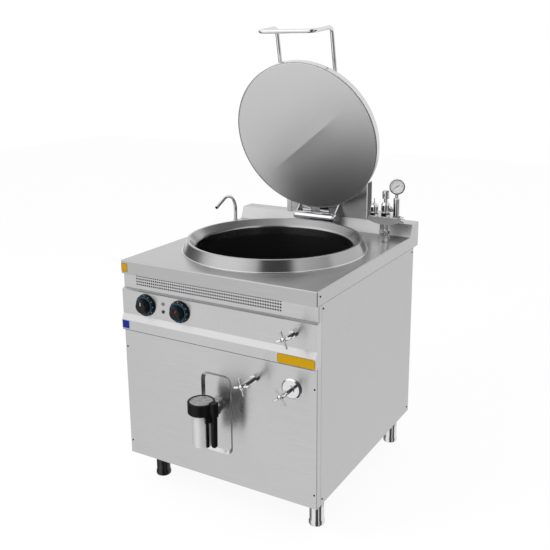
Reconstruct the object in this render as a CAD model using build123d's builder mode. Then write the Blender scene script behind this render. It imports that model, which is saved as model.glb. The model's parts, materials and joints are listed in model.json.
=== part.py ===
"""Free-standing steam jacketed boiling kettle: cabinet, jacketed vessel, balanced lid and fittings.

Millimetres. X is across the front, Y runs from front to back and Z is up. The origin is on the
floor, in the middle of the kettle's own box. Most places are given by spot(x, back, up): across
from the centre line, back from the worktop's front edge, and up from the worktop's top.
"""

from build123d import *
from math import cos, radians, sin, sqrt
import os

# ---- cabinet ----
width = 800.0
depth = 900.0              # worktop's front edge to the back of the rear upstand
height = 900.0             # floor to the worktop's top
leg_height = 135.0         # floor to the underside of the cabinet
sheet = 1.5                # panel thickness
top_sheet = 1.5            # worktop thickness
apron = 50.0               # folded edge of the worktop
worktop_depth = 810.0
cabinet_depth = 850.0
panel_gap = 1.0
post_depth = 30.0
angle_size = 30.0          # angle iron of the frame
angle_wall = 3.0
rail_width = 70.0
upstand_rise = 49.0
upstand_lean = 20.0

# ---- front: vent strip, control panel, lower panel ----
vent_height = 54.0
vent_recess = 12.0
vent_hole = 6.4
vent_pitch_x = 9.5
vent_pitch_z = 10.4
vent_columns = 64
vent_rows = 4
vent_centre_x = -39.5
vent_shift = 6.0             # of the rows above the middle of the strip
panel_face_height = 97.0
ledge_drop = 22.0
ledge_reach = 10.0
lip_height = 36.5
front_set_back = 2.0
pocket_width = 128.0
pocket_height = 300.0
pocket_depth = 8.0
pocket_centre_x = 4.0
pocket_centre_z = -508.0
pocket_corner = 30.0

# ---- kettle ----
kettle_back = 421.0        # kettle's axis, back from the worktop's front edge
vessel_r = 297.0
vessel_floor = -504.0
vessel_wall = 2.0
crest_r = 330.0
crest_z = 42.0
collar_base_r = 350.0
worktop_hole_r = 341.0
jacket_r = 335.0
jacket_wall = 3.0
jacket_top = -120.0
jacket_floor = -600.0
lagging = 28.0

# ---- lid ----
hinge_back = 783.5         # lid hinge axis
hinge_up = 50.0
hinge_left = -110.0
hinge_right = 85.0
barrel_r = 20.0
barrel_bore = 16.0
shaft_r = 10.0
lid_r = 308.0
lid_face = 30.0            # underside of the closed lid, above the worktop
lid_thick = 30.0
lid_belly = 5.0            # how far the underside bulges down in the middle
lid_open = 74.0            # degrees from closed to its stop
handle_d = 16.0
handle_half = 119.0

# ---- drain tap ----
drain_z = -482.0
drain_bore = 20.5
drain_pipe_r = 24.0
tap_reach = 83.0           # tap axis, in front of the worktop's edge
tap_neck_r = 14.0
tap_collar_r = 48.0
tap_collar_height = 42.0
spout_r = 35.0
spout_bore = 31.0
spout_foot = -585.0

# ---- valves and knobs ----
knob_places = {"thermostat": -292.0, "selector": -141.0}
knob_z = -155.0
knob_skirt_r = 41.0
knob_cap_r = 25.0
spindle_r = 3.0
lamp_x = -215.0
lamp_zs = (-139.0, -168.0)
fill_valve = (315.0, -151.0)
level_valve = (165.0, -338.5)
jacket_valve = (306.0, -346.0)
valve_reach = {"fill": 67.0, "level": 86.0, "jacket": 76.0}
valve_spindle_r = 5.0
cross_span = 62.0
rosette_r = 36.0

# ---- safety group on its shelf ----
shelf_z = 90.0
shelf_sheet = 3.0
shelf_front = 728.0
shelf_left = 250.0
shelf_right = 385.0
group_back = 750.0         # line of the fittings on the shelf
breaker_x = 268.0
safety_x = 316.0
gauge_x = 361.0
gauge_z = 213.0
gauge_r = 30.0
gauge_turn = 25.0          # degrees that the gauge faces to the right
risers = ((303.0, 9.5), (325.0, 8.5))

# ---- filler spout, legs and clearances ----
filler = (-345.0, 680.0)
filler_r = 7.0
filler_reach = 142.8
leg_places = [(x, back) for x in (-341.0, 341.0) for back in (117.0, 804.0)]
sleeve_r = 26.5
sleeve_bore = 21.0
sleeve_length = 60.0
foot_r = 29.0
running = 0.05             # radial clearance of parts that turn or slide in each other
apart = 0.3                # gap between bodies that only pass each other

# ---- frame of reference ----
reach_front = tap_reach + tap_collar_r
front_y = reach_front - (depth + reach_front) / 2
body_bottom = leg_height - height
os.makedirs("parts", exist_ok=True)


def spot(x, back, up=0.0):
    """The point x across, back from the worktop's front edge and up from its top."""
    return (x, front_y + back, height + up)


def facing(x, back, up):
    """A plane that faces the user: its X is across, its Y is up and it grows to the front."""
    return Plane(spot(x, back, up), x_dir=(1, 0, 0), z_dir=(0, -1, 0))


def turn(outline, base, up=(0, 0, 1), mode=Mode.ADD):
    """Revolve an outline of (radius, height) points about the line through base along up."""
    across = Vector(1, 0, 0) if up[2] else Vector(0, 0, 1)
    plane = Plane(base, x_dir=across, z_dir=across.cross(Vector(*up)))
    with BuildSketch(plane) as section:
        with BuildLine():
            Polyline(*outline, close=True)
        make_face()
    revolve(section.sketch, axis=Axis(base, up), mode=mode)


def tube(points, radius, bend=0.0, bore=0.0, mode=Mode.ADD):
    """Sweep a round bar, or a tube when it has a bore, along straight runs joined by arcs."""
    with BuildLine() as route:
        if bend:
            FilletPolyline(*points, radius=bend)
        else:
            Polyline(*points)
    with BuildSketch(Plane(route.line @ 0, z_dir=route.line % 0)) as section:
        Circle(radius)
        if bore:
            Circle(bore, mode=Mode.SUBTRACT)
    sweep(section.sketch, path=route.line, mode=mode)


def block(x0, x1, back0, back1, up0, up1, mode=Mode.ADD):
    """A box between two values on each axis."""
    centre = spot((x0 + x1) / 2, (back0 + back1) / 2, (up0 + up1) / 2)
    with Locations(centre):
        Box(x1 - x0, back1 - back0, up1 - up0, mode=mode)


def profile_bar(points, x0, x1, mode=Mode.ADD):
    """Extrude an outline of (back, up) points from x0 to x1."""
    with BuildSketch(Plane(spot(x0, 0), x_dir=(0, 1, 0), z_dir=(1, 0, 0))) as section:
        with BuildLine():
            Polyline(*points, close=True)
        make_face()
    extrude(section.sketch, amount=x1 - x0, mode=mode)


def hexagon(base, up, across_flats, length, bore=0.0):
    """A hexagon nut or body that grows from base along up."""
    with BuildSketch(Plane(base, z_dir=up)) as section:
        RegularPolygon(across_flats / 2, 6, major_radius=False)
        if bore:
            Circle(bore, mode=Mode.SUBTRACT)
    extrude(section.sketch, amount=length)


def save(builder, name):
    """Label a finished piece and write it."""
    builder.part.label = name
    export_step(builder.part, f"parts/{name}.step")


half = width / 2
inner_half = half - sheet
kettle_axis = spot(0, kettle_back)
skin_top = -apron - panel_gap
face_top = -apron - vent_height
ledge_top = face_top - panel_face_height
lip_top = ledge_top - ledge_drop
lip_foot = lip_top - lip_height

# ================================ frame, legs and panels ================================
frame_front = post_depth + panel_gap
frame_back = cabinet_depth - sheet
rail_wall = 3.0
edge_radius = 4.0
post_top = -top_sheet - edge_radius
with BuildPart() as base_frame:
    block(-inner_half, inner_half, frame_front, frame_back, body_bottom, body_bottom + angle_size)
    block(angle_wall - inner_half, inner_half - angle_wall, frame_front + angle_wall,
          frame_back - angle_wall, body_bottom + angle_wall, body_bottom + angle_size,
          mode=Mode.SUBTRACT)
    block(angle_size - inner_half, inner_half - angle_size, frame_front + angle_size,
          frame_back - angle_size, body_bottom, body_bottom + angle_size, mode=Mode.SUBTRACT)
    for leg_back in sorted({back for _, back in leg_places}):
        rail_back = min(leg_back + rail_width / 2, frame_back - angle_wall)
        rail_front = leg_back - rail_width / 2
        block(angle_wall - inner_half, inner_half - angle_wall, rail_front, rail_back,
              body_bottom, body_bottom + angle_size)
        block(angle_wall - inner_half, inner_half - angle_wall, rail_front + rail_wall,
              rail_back - rail_wall, body_bottom + rail_wall, body_bottom + angle_size,
              mode=Mode.SUBTRACT)
    for side in (-1, 1):
        for back, inward, stop in ((frame_front, 1, post_top), (frame_back, -1, skin_top)):
            edge = side * inner_half
            for across, along in ((angle_size, angle_wall), (angle_wall, angle_size)):
                xs = sorted((edge, edge - side * across))
                backs = sorted((back, back + inward * along))
                block(*xs, *backs, body_bottom, stop)
    for x, back in leg_places:
        with Locations(spot(x, back, body_bottom - sleeve_length / 2)):
            Cylinder(sleeve_r, sleeve_length)
        with Locations(spot(x, back, body_bottom - sleeve_length / 2)):
            Cylinder(sleeve_bore, sleeve_length, mode=Mode.SUBTRACT)
save(base_frame, "base_frame")

foot_names = ["foot_front_left", "foot_rear_left", "foot_front_right", "foot_rear_right"]
foot_bore = 16.0
foot_floor = 24.0
for (x, back), foot_name in zip(leg_places, foot_names):
    stem_r = sleeve_bore - running
    shoulder = leg_height - sleeve_length - apart
    with BuildPart() as foot:
        turn([(0, 0), (24, 0), (foot_r - 1, 3), (foot_r, 6), (foot_r, 14), (sleeve_r, 22),
              (sleeve_r, shoulder), (stem_r, shoulder), (stem_r, leg_height - apart),
              (foot_bore, leg_height - apart), (foot_bore, foot_floor), (0, foot_floor)],
             (x, front_y + back, 0))
    save(foot, foot_name)

with BuildPart() as side_panels:
    for side in (-1, 1):
        xs = sorted((side * half, side * inner_half))
        block(*xs, frame_front, cabinet_depth, body_bottom, skin_top)
save(side_panels, "side_panels")

flange = 25.0
post_front = front_set_back + sheet
with BuildPart() as corner_posts:
    for side in (-1, 1):
        outer = sorted((side * half, side * inner_half))
        full = sorted((side * half, side * (half - flange)))
        block(*outer, post_front, post_depth, body_bottom, skin_top)
        block(*full, post_front, post_front + sheet, body_bottom, skin_top)
        block(*full, post_depth - sheet, post_depth, body_bottom, skin_top)
    block(-half, half, 0, post_depth, lip_foot, face_top, mode=Mode.SUBTRACT)
    block(-half, half, 0, vent_recess + sheet, face_top, 0, mode=Mode.SUBTRACT)
save(corner_posts, "corner_posts")

inlet = (345.0, -640.0)
gland = (-300.0, -680.0)
pipe_r = 7.5
gland_r = 12.5
with BuildPart() as back_panel:
    block(-inner_half, inner_half, frame_back, cabinet_depth, body_bottom, skin_top)
    with BuildSketch(facing(0, cabinet_depth, 0)):
        with Locations(inlet):
            Circle(pipe_r + 3)
        with Locations(gland):
            Circle(gland_r)
    extrude(amount=2 * sheet, mode=Mode.SUBTRACT)
save(back_panel, "back_panel")

floor_z = body_bottom + angle_size
with BuildPart() as bottom_panel:
    block(-inner_half + angle_wall, inner_half - angle_wall, frame_front + angle_wall,
          frame_back - angle_wall, floor_z, floor_z + sheet)
    for side in (-1, 1):
        xs = sorted((side * half, side * (inner_half - angle_size - panel_gap)))
        block(*xs, 0, frame_front + angle_size + panel_gap, floor_z, floor_z + sheet,
              mode=Mode.SUBTRACT)
        block(*xs, frame_back - angle_size - panel_gap, cabinet_depth, floor_z, floor_z + sheet,
              mode=Mode.SUBTRACT)
save(bottom_panel, "bottom_panel")

# ================================ front ================================
vent_z = -apron - vent_height / 2
with BuildPart() as vent_grille:
    with BuildSketch(facing(0, vent_recess, 0)):
        with Locations((0, vent_z)):
            Rectangle(2 * inner_half, vent_height)
        with Locations((vent_centre_x, vent_z + vent_shift)):
            with GridLocations(vent_pitch_x, vent_pitch_z, vent_columns, vent_rows):
                Circle(vent_hole / 2, mode=Mode.SUBTRACT)
    extrude(amount=-sheet)
    block(edge_radius - inner_half, inner_half - edge_radius, top_sheet, post_depth,
          -apron, -apron + sheet)
save(vent_grille, "vent_grille")

valve_neck_r = 9.0
lamp_r = 5.0
panel_slope = 6.0
with BuildPart() as control_panel:
    profile_bar([(vent_recess + sheet, face_top), (0, face_top - panel_slope), (0, ledge_top),
                 (-ledge_reach, lip_top), (-ledge_reach, lip_foot), (post_depth, lip_foot),
                 (post_depth, face_top)], -half, half)
    rear = control_panel.faces().sort_by(Axis.Y)[-1]
    offset(amount=-sheet, openings=rear)
    with BuildSketch(facing(0, 0, 0)):
        with Locations(*[(x, knob_z) for x in knob_places.values()]):
            Circle(spindle_r + 1)
        with Locations(*[(lamp_x, z) for z in lamp_zs]):
            Circle(lamp_r)
        with Locations(fill_valve):
            Circle(valve_neck_r)
    extrude(amount=-2 * sheet, mode=Mode.SUBTRACT)
save(control_panel, "control_panel")

with BuildPart() as front_panel:
    block(-inner_half, inner_half, front_set_back, front_set_back + sheet,
          body_bottom, lip_foot - panel_gap)
    pocket_plane = facing(pocket_centre_x, front_set_back, pocket_centre_z)
    pocket_taper = 55.0
    pocket_wall = 2.6
    with BuildSketch(pocket_plane):
        RectangleRounded(pocket_width + 2 * pocket_wall, pocket_height + 2 * pocket_wall,
                         pocket_corner + pocket_wall)
    extrude(amount=-pocket_depth - sheet, taper=pocket_taper)
    with BuildSketch(pocket_plane):
        RectangleRounded(pocket_width, pocket_height, pocket_corner)
    extrude(amount=-pocket_depth, taper=pocket_taper, mode=Mode.SUBTRACT)
    with BuildSketch(facing(0, 0, 0)):
        with Locations((0, drain_z)):
            Circle(drain_pipe_r + 1)
        with Locations(level_valve, jacket_valve):
            Circle(valve_neck_r)
    extrude(amount=-pocket_depth - 4 * sheet, mode=Mode.SUBTRACT)
save(front_panel, "front_panel")

# ================================ worktop and rear upstand ================================
with BuildPart() as worktop:
    block(-half, half, 0, worktop_depth, -apron, 0)
    rounded = worktop.edges().group_by(Axis.Z)[-1].filter_by(Axis.X).sort_by(Axis.Y)[0:1]
    rounded += worktop.edges().group_by(Axis.Z)[-1].filter_by(Axis.Y)
    rounded += worktop.edges().filter_by(Axis.Z).group_by(Axis.Y)[0]
    fillet(rounded, radius=edge_radius)
    under = worktop.faces().sort_by(Axis.Z)[0]
    rear = worktop.faces().sort_by(Axis.Y)[-1]
    offset(amount=-top_sheet, openings=[under, rear])
    with Locations(kettle_axis):
        Cylinder(worktop_hole_r, 4 * top_sheet, mode=Mode.SUBTRACT)
    for x, radius in risers:
        with Locations(spot(x, group_back)):
            Cylinder(radius + 1, 4 * top_sheet, mode=Mode.SUBTRACT)
    with Locations(spot(*filler)):
        Cylinder(pipe_r + 1, 4 * top_sheet, mode=Mode.SUBTRACT)
save(worktop, "worktop")

upstand_top_back = worktop_depth + upstand_lean
with BuildPart() as rear_upstand:
    profile_bar([(worktop_depth, -apron), (worktop_depth, 0), (upstand_top_back, upstand_rise),
                 (depth, upstand_rise), (depth, -apron)], -half, half)
    under = rear_upstand.faces().sort_by(Axis.Z)[0]
    offset(amount=-sheet, openings=under)
save(rear_upstand, "rear_upstand")

# ================================ kettle ================================
collar_wall = 2.0
collar_skirt = -20.0
with BuildPart() as kettle_collar:
    with BuildSketch(facing(0, kettle_back, 0)):
        with BuildLine():
            FilletPolyline((collar_base_r, 0), (crest_r + 3, crest_z), (crest_r - 6, crest_z),
                           (vessel_r + 3, 18), (vessel_r, 12), (vessel_r, collar_skirt),
                           radius=[3, 3, 14, 6])
            offset(amount=collar_wall, side=Side.LEFT)
        make_face()
    revolve(axis=Axis(kettle_axis, (0, 0, 1)))
    turn([(crest_r, -collar_wall), (collar_base_r + 1, -collar_wall), (collar_base_r + 1, 0),
          (crest_r, 0)], kettle_axis, mode=Mode.SUBTRACT)
save(kettle_collar, "kettle_collar")

vessel_out = vessel_r + vessel_wall
floor_bend = 12.0
with BuildPart() as inner_vessel:
    with BuildSketch(facing(0, kettle_back, 0)):
        with BuildLine():
            FilletPolyline((vessel_r, collar_skirt), (vessel_r, vessel_floor), (0, vessel_floor),
                           radius=floor_bend)
            offset(amount=vessel_wall, side=Side.LEFT)
        make_face()
    revolve(axis=Axis(kettle_axis, (0, 0, 1)))
    with BuildSketch(facing(0, 0, 0)):
        with Locations((0, drain_z)):
            Circle(drain_bore)
    extrude(amount=-kettle_back, mode=Mode.SUBTRACT)
save(inner_vessel, "inner_vessel")

element_r = 4.25
element_z = (jacket_floor + vessel_floor) / 2
neck_r = 62.0
neck_end = kettle_back + jacket_r + 20
with BuildPart() as jacket_shell:
    with BuildSketch(facing(0, kettle_back, 0)):
        with BuildLine():
            FilletPolyline((vessel_out, jacket_top), (jacket_r, jacket_top),
                           (jacket_r, jacket_floor), (0, jacket_floor), radius=20)
            offset(amount=jacket_wall, side=Side.RIGHT)
        make_face()
    revolve(axis=Axis(kettle_axis, (0, 0, 1)))
    with BuildSketch(facing(0, 0, 0)):
        with Locations((0, drain_z)):
            Circle(drain_pipe_r + apart)
    extrude(amount=-kettle_back, mode=Mode.SUBTRACT)
    with BuildSketch(facing(0, kettle_back, 0)):
        with Locations((0, element_z)):
            Circle(neck_r - 5)
    extrude(amount=-jacket_r - 5, mode=Mode.SUBTRACT)
save(jacket_shell, "jacket_shell")

hairpin_pitch = 36.0
hairpin_width = 22.0
hairpin_tip = 150.0
neck_wall = 4.0
flange_thick = 8.0
with BuildPart() as heating_elements:
    turn([(neck_r - neck_wall, -neck_r), (neck_r, -neck_r), (neck_r, 0), (neck_r - neck_wall, 0)],
         spot(0, neck_end, element_z), (0, 1, 0))
    with Locations(spot(0, kettle_back, element_z)):
        Cylinder(jacket_r, 3 * neck_r, mode=Mode.SUBTRACT)
    turn([(0, 0), (neck_r, 0), (neck_r, flange_thick), (0, flange_thick)],
         spot(0, neck_end, element_z), (0, 1, 0))
    block(12 - neck_r, neck_r - 12, neck_end + flange_thick, neck_end + 45,
          element_z - 45, element_z + 45)
    for x in (-hairpin_pitch, 0, hairpin_pitch):
        left, right = x - hairpin_width / 2, x + hairpin_width / 2
        tube([spot(left, neck_end, element_z), spot(left, hairpin_tip, element_z),
              spot(right, hairpin_tip, element_z), spot(right, neck_end, element_z)],
             element_r, bend=hairpin_width / 2 - 0.1)
save(heating_elements, "heating_elements")

# ================================ valves and pipework ================================
body_r = 11.0
body_half = 25.0
body_back = 45.0
nut_flats = 24.0
nut_reach = 12.0
packing_r = 9.0
spindle_clear = 9.0        # bare spindle between the packing nut and the cross handle
valves = {"fill": (*fill_valve, 0.0), "level": (*level_valve, front_set_back),
          "jacket": (*jacket_valve, front_set_back)}
with BuildPart() as valve_bodies:
    for valve, (x, z, skin) in valves.items():
        packing_end = skin - valve_reach[valve] + spindle_clear
        forwards = (0, -1, 0)
        with Locations(spot(x, body_back, z)):
            Cylinder(body_r, 2 * body_half)
        neck = valve_neck_r - apart
        turn([(0, 0), (neck, 0), (neck, body_back - skin), (0, body_back - skin)],
             spot(x, body_back, z), forwards)
        hexagon(spot(x, skin, z), forwards, nut_flats, nut_reach)
        if valve == "jacket":
            turn([(0, 0), (rosette_r, 0), (rosette_r, 4), (rosette_r - 5, 8), (0, 9)],
                 spot(x, skin, z), forwards)
        packing = skin - packing_end
        turn([(0, nut_reach), (packing_r, nut_reach), (packing_r, packing - 6),
              (packing_r - 2, packing), (0, packing)], spot(x, skin, z), forwards)
        if valve != "fill":
            turn([(0, 0), (pipe_r, 0), (pipe_r, kettle_back - body_back),
                  (0, kettle_back - body_back)], spot(x, body_back, z), (0, 1, 0))
        with BuildSketch(facing(x, packing_end, z)):
            Circle(valve_spindle_r + running)
        extrude(amount=packing_end - body_back, mode=Mode.SUBTRACT)
    with Locations(spot(0, kettle_back, jacket_floor / 2)):
        Cylinder(jacket_r, -jacket_floor, mode=Mode.SUBTRACT)
save(valve_bodies, "valve_bodies")

cross_turns = {"fill": 23.0, "level": 16.0, "jacket": 38.0}
hub_r = 9.0
hub_half = 8.0
for valve, (x, z, skin) in valves.items():
    reach = valve_reach[valve] - skin
    with BuildPart() as cross_handle:
        turn([(0, -body_back + 20), (valve_spindle_r, -body_back + 20),
              (valve_spindle_r, reach - hub_half), (hub_r - 1, reach - hub_half),
              (hub_r, reach - hub_half + 3), (hub_r, reach + hub_half - 2),
              (hub_r - 2, reach + hub_half), (0, reach + hub_half + 3)],
             spot(x, 0, z), (0, -1, 0))
        for quarter in range(4):
            way = radians(cross_turns[valve] + 90 * quarter)
            arm = (cos(way), 0, sin(way))
            with BuildSketch(Plane(spot(x, -reach, z), x_dir=(0, 1, 0), z_dir=arm)) as section:
                Circle(3.4)
            extrude(section.sketch, amount=cross_span / 2 - 3, taper=-2)
            tip_r = 4.4
            centre = Vector(*spot(x, -reach, z)) + Vector(*arm) * (cross_span / 2 - 3)
            with Locations(centre):
                Sphere(tip_r)
    save(cross_handle, f"{valve}_cross_handle")

fill_x, fill_z = fill_valve
filler_x, filler_back = filler
inlet_x, inlet_z = inlet
pipe_bend = 15.0
pipe_bore = pipe_r - 1
inlet_reach = 28.0
inlet_tail = 18.0
header_z = -36.0
dogleg_z = fill_z - body_half - 45
socket_foot = -14.0
inlet_nut = 8.0
with BuildPart() as inlet_union:
    turn([(pipe_bore, -inlet_tail), (pipe_r, -inlet_tail), (pipe_r, inlet_reach),
          (pipe_bore, inlet_reach)], spot(inlet_x, cabinet_depth, inlet_z), (0, 1, 0))
    hexagon(spot(inlet_x, cabinet_depth, inlet_z), (0, 1, 0), nut_flats, inlet_nut, pipe_r)
save(inlet_union, "inlet_union")

with BuildPart() as water_pipes:
    tube([spot(inlet_x, cabinet_depth - inlet_tail, inlet_z), spot(inlet_x, body_back, inlet_z),
          spot(inlet_x, body_back, dogleg_z), spot(fill_x, body_back, dogleg_z),
          spot(fill_x, body_back, fill_z - body_half)], pipe_r, pipe_bend, pipe_bore)
    tube([spot(fill_x, body_back, fill_z + body_half), spot(fill_x, body_back, header_z),
          spot(filler_x, body_back, header_z), spot(filler_x, filler_back, header_z),
          spot(filler_x, filler_back, socket_foot)], pipe_r, pipe_bend, pipe_bore)
save(water_pipes, "water_pipes")

socket_r = 17.0
socket_top = 24.0
with BuildPart() as spout_socket:
    turn([(0, socket_foot), (8, socket_foot), (8, 0), (socket_r, 0), (socket_r, 4),
          (12, 7), (12, 18), (10, 20), (10, socket_top), (0, socket_top)], spot(*filler))
    with Locations(spot(*filler, socket_top)):
        Cylinder(filler_r + running, 2 * (socket_top - 4), mode=Mode.SUBTRACT)
    with Locations(spot(*filler, 0)):
        Cylinder(4.5, -4 * socket_foot, mode=Mode.SUBTRACT)
save(spout_socket, "spout_socket")

filler_bend = 60.0
filler_crown = 167.6
filler_tip = 99.3
filler_foot = 4.5
with BuildPart() as swivel_spout:
    tube([spot(*filler, filler_foot), spot(*filler, filler_crown),
          spot(filler_x, filler_back - filler_reach, filler_tip)],
         filler_r, filler_bend, filler_r - 1)
save(swivel_spout, "swivel_spout")

with BuildPart() as drain_pipe:
    turn([(drain_bore, 0), (drain_pipe_r, 0), (drain_pipe_r, kettle_back + 8),
          (drain_bore, kettle_back + 8)], spot(0, -8, drain_z), (0, 1, 0))
    with Locations(spot(0, kettle_back, drain_z)):
        Cylinder(vessel_out, 4 * drain_pipe_r, mode=Mode.SUBTRACT)
save(drain_pipe, "drain_pipe")

riser_foot = dict(zip(risers, (-160.0, -200.0)))
riser_inset = 10.0         # how far a riser's level run would go on past the jacket wall


def riser_run(x, low):
    """The level run of a riser, from under its fitting towards the kettle's axis."""
    off_axis = group_back - kettle_back
    share = (jacket_r - riser_inset) / sqrt(x ** 2 + off_axis ** 2)
    return [spot(x, group_back, low), spot(x * share, kettle_back + off_axis * share, low)]


riser_bend = 25.0
lock_nut = 10.0
union_z = 22.0
union_height = 12.0
with BuildPart() as riser_pipes:
    for (x, radius), low in riser_foot.items():
        tube([spot(x, group_back, shelf_z - shelf_sheet), *riser_run(x, low)], radius, riser_bend)
        hexagon(spot(x, group_back), (0, 0, 1), 2 * radius + 5, lock_nut)
        hexagon(spot(x, group_back, union_z), (0, 0, 1), 2 * radius + 4, union_height)
    with Locations(spot(0, kettle_back, jacket_floor / 2)):
        Cylinder(jacket_r, -jacket_floor, mode=Mode.SUBTRACT)
save(riser_pipes, "riser_pipes")

lagging_r = jacket_r + lagging
lagging_foot = jacket_floor + 10
with BuildPart() as insulation_blanket:
    turn([(jacket_r + apart, lagging_foot), (lagging_r, lagging_foot),
          (lagging_r, jacket_top), (jacket_r + apart, jacket_top)], kettle_axis)
    with BuildSketch(facing(0, 0, 0)):
        with Locations((0, drain_z)):
            Circle(drain_pipe_r + apart)
        with Locations(level_valve, jacket_valve):
            Circle(pipe_r + apart)
    extrude(amount=-kettle_back, mode=Mode.SUBTRACT)
    with BuildSketch(facing(0, kettle_back, 0)):
        with Locations((0, element_z)):
            Circle(neck_r + apart)
    extrude(amount=-lagging_r - 5, mode=Mode.SUBTRACT)
    for (x, radius), low in riser_foot.items():
        tube(riser_run(x, low), radius + apart, mode=Mode.SUBTRACT)
save(insulation_blanket, "insulation_blanket")

# ================================ drain tap ================================
tap_axis = spot(0, -tap_reach)
tap_foot = drain_z + tap_neck_r + 1
tap_collar_top = tap_foot + tap_collar_height
neck_bore = 11.0
seat_r = 22.0              # bore that the turning plug fits
seat_foot = drain_z - neck_bore - 12
with BuildPart() as tap_spout:
    turn([(spout_bore, spout_foot), (spout_r, spout_foot), (spout_r, tap_foot - apart),
          (seat_r, tap_foot - apart), (seat_r, seat_foot), (spout_bore, seat_foot)], tap_axis)
    with BuildSketch(facing(0, -tap_reach, drain_z)):
        Circle(neck_bore)
    extrude(amount=-spout_r - 5, mode=Mode.SUBTRACT)
save(tap_spout, "tap_spout")

with BuildPart() as tap_body:
    hexagon(spot(0, -8, drain_z), (0, -1, 0), 54, 20)
    turn([(0, 0), (tap_neck_r, 0), (tap_neck_r, tap_reach - 8), (0, tap_reach - 8)],
         spot(0, -8, drain_z), (0, -1, 0))
    with BuildSketch(facing(0, -8, drain_z)):
        Circle(neck_bore)
    extrude(amount=tap_reach, mode=Mode.SUBTRACT)
    with Locations(spot(0, -tap_reach, drain_z)):
        Cylinder(spout_r, 4 * spout_r, mode=Mode.SUBTRACT)
save(tap_body, "tap_body")

plug_r = seat_r - running
plug_foot = seat_foot + 1
stem_r = 12.0
disc_r = 40.0
with BuildPart() as tap_plug:
    turn([(0, plug_foot), (plug_r, plug_foot), (plug_r, tap_foot - apart),
          (stem_r, tap_foot - apart), (stem_r, tap_collar_top - 5), (disc_r, tap_collar_top - 5),
          (disc_r, tap_collar_top - 1.5), (0, tap_collar_top - 1.5)], tap_axis)
    with BuildSketch(Plane(spot(0, -tap_reach, drain_z), x_dir=(0, 1, 0), z_dir=(-1, 0, 0))):
        Circle(neck_bore)
    extrude(amount=2 * plug_r, mode=Mode.SUBTRACT)
    with Locations(spot(0, -tap_reach, (drain_z + plug_foot) / 2 - 5)):
        Cylinder(neck_bore, drain_z - plug_foot + 10, mode=Mode.SUBTRACT)
save(tap_plug, "tap_plug")

with BuildPart() as tap_collar:
    turn([(stem_r, tap_foot), (tap_collar_r - 2, tap_foot), (tap_collar_r, tap_foot + 2),
          (tap_collar_r, tap_collar_top - 2), (tap_collar_r - 2, tap_collar_top),
          (disc_r + apart, tap_collar_top), (disc_r + apart, tap_collar_top - 5),
          (stem_r, tap_collar_top - 5)], tap_axis)
save(tap_collar, "tap_collar")


def around_tap(way, radius, z):
    """A point at an angle and a radius from the tap's axis."""
    return spot(radius * cos(radians(way)), radius * sin(radians(way)) - tap_reach, z)


lever_way = -5.0
lever_lean = -8.0
lever_r = 11.0
lever_foot = -573.0
lever_out = tap_collar_r + 8
catch_way = -27.0
catch_r = spout_r + 4.5
catch_top = tap_foot - 14
lug_r = spout_r + 8
lug_end = tap_collar_r + 4
pin_r = 2.0
catch_out = (cos(radians(catch_way)), sin(radians(catch_way)), 0)
catch_plane = Plane(tap_axis, x_dir=catch_out, z_dir=(0, 0, 1))
with BuildPart() as tap_lever:
    lever_root = Plane(tap_axis, x_dir=(cos(radians(lever_way)), sin(radians(lever_way)), 0),
                       z_dir=(0, 0, 1))
    with BuildSketch(lever_root.offset(tap_foot - 4)):
        with Locations((tap_collar_r + 6, 0)):
            RectangleRounded(24, 26, 4)
    extrude(amount=tap_collar_height + 10)
    grip = [around_tap(lever_way, lever_out, tap_foot + 6),
            around_tap(lever_lean, lever_out, lever_foot)]
    tube(grip, lever_r)
    with Locations(grip[-1]):
        Sphere(lever_r)
    with BuildSketch(catch_plane.offset(catch_top - 8)):
        with Locations(((lug_r + lug_end) / 2, 0)):
            Rectangle(lug_end - lug_r, 22)
    extrude(amount=tap_foot - apart - catch_top + 8)
    with Locations(spot(0, -tap_reach, (tap_foot + tap_collar_top) / 2)):
        Cylinder(tap_collar_r, tap_collar_height, mode=Mode.SUBTRACT)
    turn([(0, 0), (pin_r + running, 0), (pin_r + running, 60), (0, 60)],
         around_tap(catch_way, 20, catch_top), catch_out, mode=Mode.SUBTRACT)
save(tap_lever, "tap_lever")

catch_foot = spout_foot + 2
with BuildPart() as tap_catch:
    with BuildSketch(catch_plane.offset(catch_foot)):
        with Locations((catch_r, 0)):
            Rectangle(3.6, 10)
    extrude(amount=catch_top + 6 - catch_foot)
    shoulder = lug_end + 1.5 - catch_r
    turn([(0, -1), (pin_r, -1), (pin_r, shoulder), (5, shoulder), (5, shoulder + 3),
          (3, shoulder + 4.5), (0, shoulder + 4.5)],
         around_tap(catch_way, catch_r, catch_top), catch_out)
save(tap_catch, "tap_catch")

# ================================ knobs, lamps and electrics ================================
box_half = 23.0
box_front = 4.0
box_back = 44.0
with BuildPart() as control_bodies:
    for x in knob_places.values():
        block(x - box_half, x + box_half, box_front, box_back, knob_z - box_half, knob_z + box_half)
        turn([(0, 0), (spindle_r + 0.9, 0), (spindle_r + 0.9, box_front + 2), (0, box_front + 2)],
             spot(x, box_front, knob_z), (0, -1, 0))
        block(x - box_half, x + box_half, sheet, box_front, knob_z - box_half, knob_z - box_half + 8)
        block(x - box_half, x + box_half, sheet, box_front, knob_z + box_half - 8, knob_z + box_half)
        with BuildSketch(facing(x, -box_front, knob_z)):
            Circle(spindle_r - 1 + running)
        extrude(amount=-5 * box_front, mode=Mode.SUBTRACT)
save(control_bodies, "control_bodies")

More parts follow.
